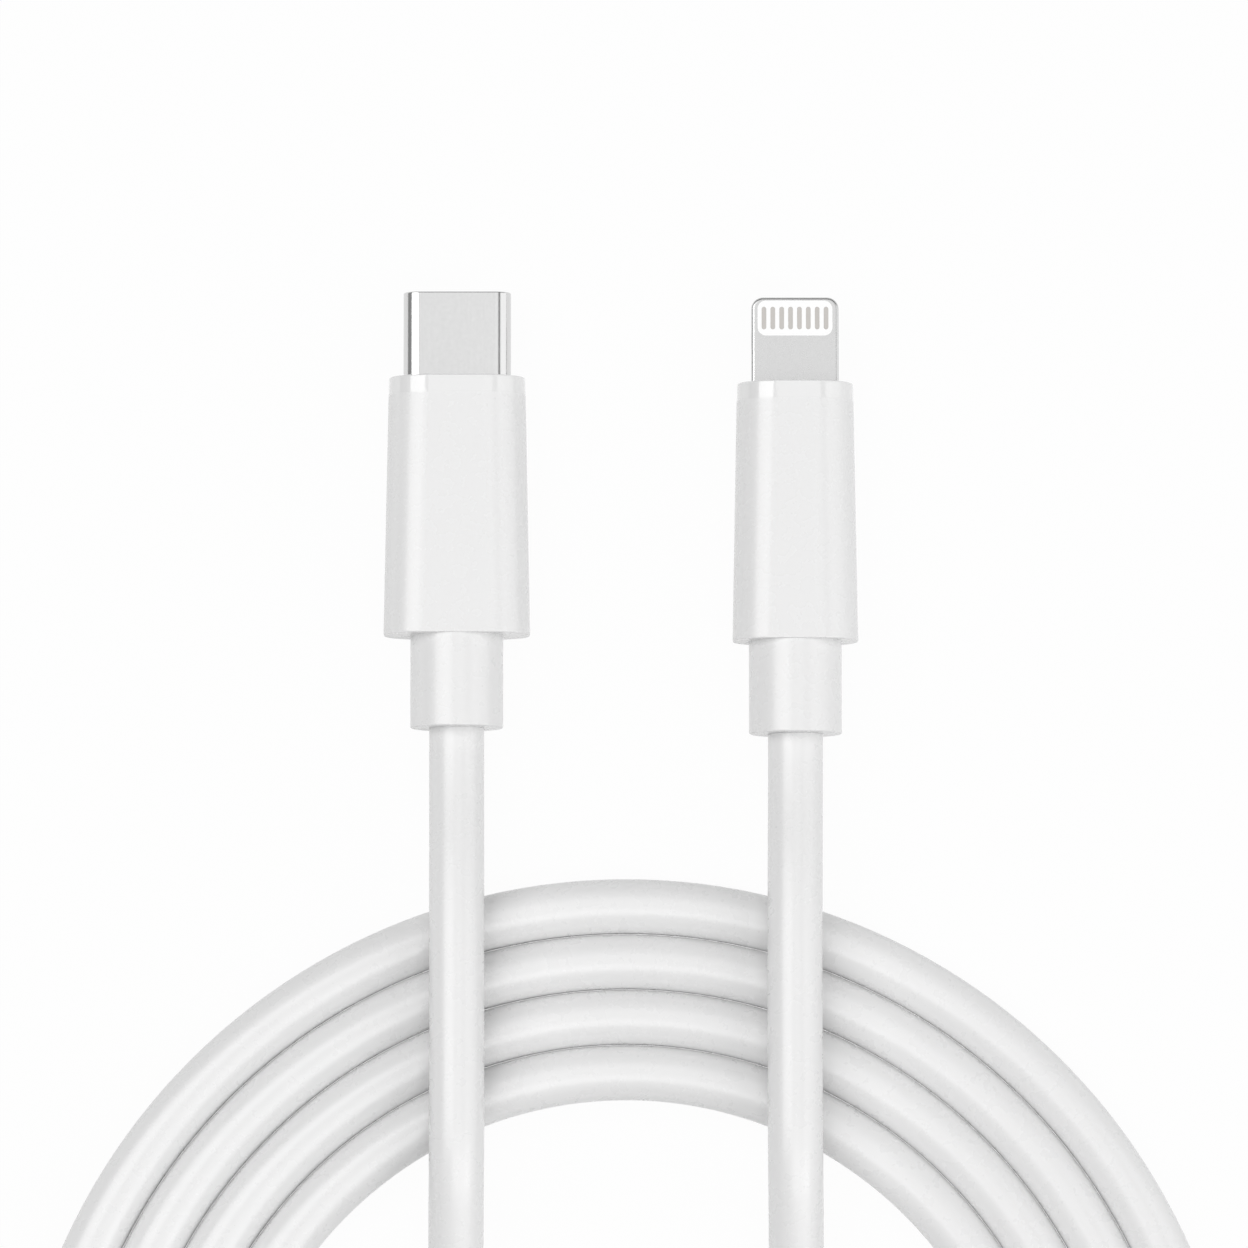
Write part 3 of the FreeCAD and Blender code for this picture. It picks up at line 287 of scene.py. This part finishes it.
def moulded_plastic(name, color, roughness, grain_size, grain_depth, coat=0.0, specular=0.5):
    """Plastic with a fine tool grain, cloudy gloss and a trace of colour drift."""
    material, tree, shader, place = new_material(name, color, roughness, coat=coat, specular=specular)
    darker = tuple(channel * DRIFT_DARKEST for channel in color)
    vary_color(tree, shader, noise(tree, place, DRIFT_SCALE), color, darker)
    vary_roughness(tree, shader, noise(tree, place, PLASTIC_CLOUD_SCALE), roughness)
    bump(tree, shader, noise(tree, place, 1.0 / grain_size, 4.0, 0.6), grain_depth)
    return material


def brushed_metal(name, color, roughness, along, depth, contrast=0.03):
    """Metal with fine lines: along is the noise's scale in each direction, small where the lines run."""
    material, tree, shader, place = new_material(name, color, roughness, metallic=1.0)
    lines = noise(tree, stretched(tree, place, along), 1.0, 4.0, 0.6)
    duller = tuple(channel * (1 - contrast) for channel in color)
    vary_color(tree, shader, lines, color, duller)
    vary_roughness(tree, shader, noise(tree, place, METAL_CLOUD_SCALE), roughness)
    bump(tree, shader, lines, depth)
    return material


def make_materials():
    found = {}
    for name, (*values, extras) in PLASTICS.items():
        found[name] = moulded_plastic(name, *values, **extras)
    for name, values in METALS.items():
        found[name] = brushed_metal(name, *values)
    return found


def dress_nodes(materials):
    """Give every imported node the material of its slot."""
    for row in frame["record"]["subparts"]:
        mesh = nodes[row["node"]].data
        mesh.materials.clear()
        mesh.materials.append(materials[row["material_slot"]])


# Floor and light.


def make_floor():
    """White table that stays white behind the cable and keeps a soft trace of its shadow."""
    mesh = bpy.data.meshes.new("floor")
    corners = [(x * FLOOR_HALF, y * FLOOR_HALF, 0) for x, y in ((-1, -1), (1, -1), (1, 1), (-1, 1))]
    mesh.from_pydata(corners, [], [(0, 1, 2, 3)])
    material = bpy.data.materials.new("floor")
    material.use_nodes = True
    tree = material.node_tree
    shader = tree.nodes["Principled BSDF"]
    shader.inputs["Base Color"].default_value = (*FLOOR_COLOR, 1.0)
    shader.inputs["Roughness"].default_value = 0.9
    glow = add_node(tree, "ShaderNodeEmission", {"Color": (1.0, 1.0, 1.0, 1.0), "Strength": 1.0})
    rays = add_node(tree, "ShaderNodeLightPath")
    seen = add_node(tree, "ShaderNodeMath", operation="MAXIMUM")
    tree.links.new(rays.outputs["Is Camera Ray"], seen.inputs[0])
    tree.links.new(rays.outputs["Is Glossy Ray"], seen.inputs[1])
    share = add_node(tree, "ShaderNodeMath", {1: FLOOR_GLOW_SHARE}, operation="MULTIPLY")
    tree.links.new(seen.outputs[0], share.inputs[0])
    mix = add_node(tree, "ShaderNodeMixShader")
    tree.links.new(share.outputs[0], mix.inputs[0])
    tree.links.new(shader.outputs[0], mix.inputs[1])
    tree.links.new(glow.outputs[0], mix.inputs[2])
    tree.links.new(mix.outputs[0], tree.nodes["Material Output"].inputs["Surface"])
    floor = bpy.data.objects.new("floor", mesh)
    floor.data.materials.append(material)
    scene.collection.objects.link(floor)


def make_world(strength):
    world = bpy.data.worlds.new("studio")
    world.use_nodes = True
    background = world.node_tree.nodes["Background"]
    background.inputs["Color"].default_value = (1.0, 1.0, 1.0, 1.0)
    background.inputs["Strength"].default_value = strength
    scene.world = world


def soft_box(name, across, along, spans, radiance):
    """A soft box a metre off, leaning across to +X and along to +Y; spans are its angles of view."""
    across, along = math.radians(across), math.radians(along)
    wide, tall = (2 * math.tan(math.radians(span) / 2) for span in spans)
    outwards = Vector(
        (math.sin(across) * math.cos(along), math.sin(along), math.cos(across) * math.cos(along))
    )
    sideways = Vector((math.cos(across), 0.0, -math.sin(across)))
    data = bpy.data.lights.new(name, "AREA")
    data.shape = "RECTANGLE"
    data.size, data.size_y = wide, tall
    data.energy = radiance * math.pi * wide * tall
    light = bpy.data.objects.new(name, data)
    turn = Matrix((sideways, outwards.cross(sideways), outwards)).transposed()
    light.matrix_world = Matrix.Translation(LIGHTS_AIM + outwards) @ turn.to_4x4()
    scene.collection.objects.link(light)


make_camera()
materials = make_materials()
make_cord(materials["jacket"])
dress_nodes(materials)
make_floor()
make_world(WORLD_STRENGTH)
for name, setting in SOFT_BOXES.items():
    soft_box(name, *setting)

scene.view_settings.view_transform = "Standard"
